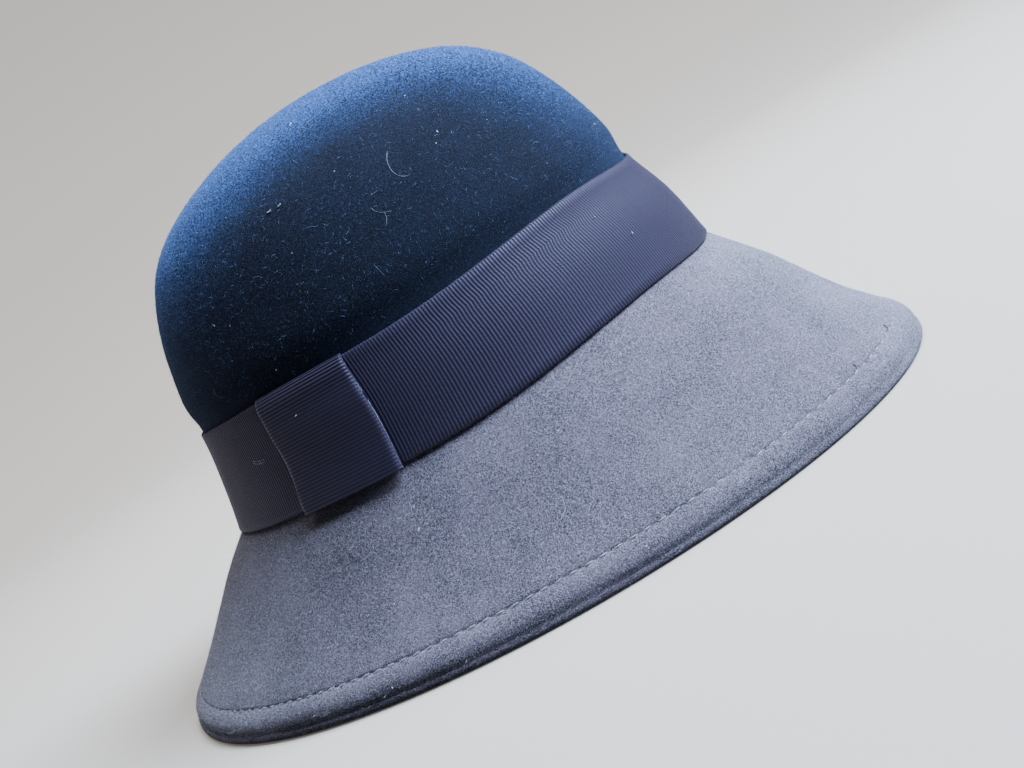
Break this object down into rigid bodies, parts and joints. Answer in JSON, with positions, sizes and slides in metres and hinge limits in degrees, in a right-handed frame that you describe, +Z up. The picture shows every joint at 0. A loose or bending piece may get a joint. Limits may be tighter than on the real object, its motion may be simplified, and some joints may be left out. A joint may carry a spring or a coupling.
{
  "type": "cloche hat",
  "caption": "Felt cloche hat with a deep rounded crown, a turned-down brim with a folded hem, and a ribbed ribbon with a keeper.",
  "frame": {"origin": "middle of the rim's length and width, in the plane that the rim rests on", "axes": "+X to the front of the hat, +Y to the wearer's left, +Z up through the crown"},
  "size_m": [0.318, 0.24, 0.1774],
  "materials": {
    "navy_felt": "dark navy wool felt with a short nap and a soft sheen",
    "taupe_felt": "taupe-grey mottled wool felt with a short nap",
    "ribbon": "ribbed grosgrain ribbon, dark navy to plum, with a faint silky sheen"
  },
  "bodies": {
    "root": {"crown": "navy_felt", "brim": "taupe_felt", "ribbon_band": "ribbon", "ribbon_keeper": "ribbon"}
  },
  "joints": []
}
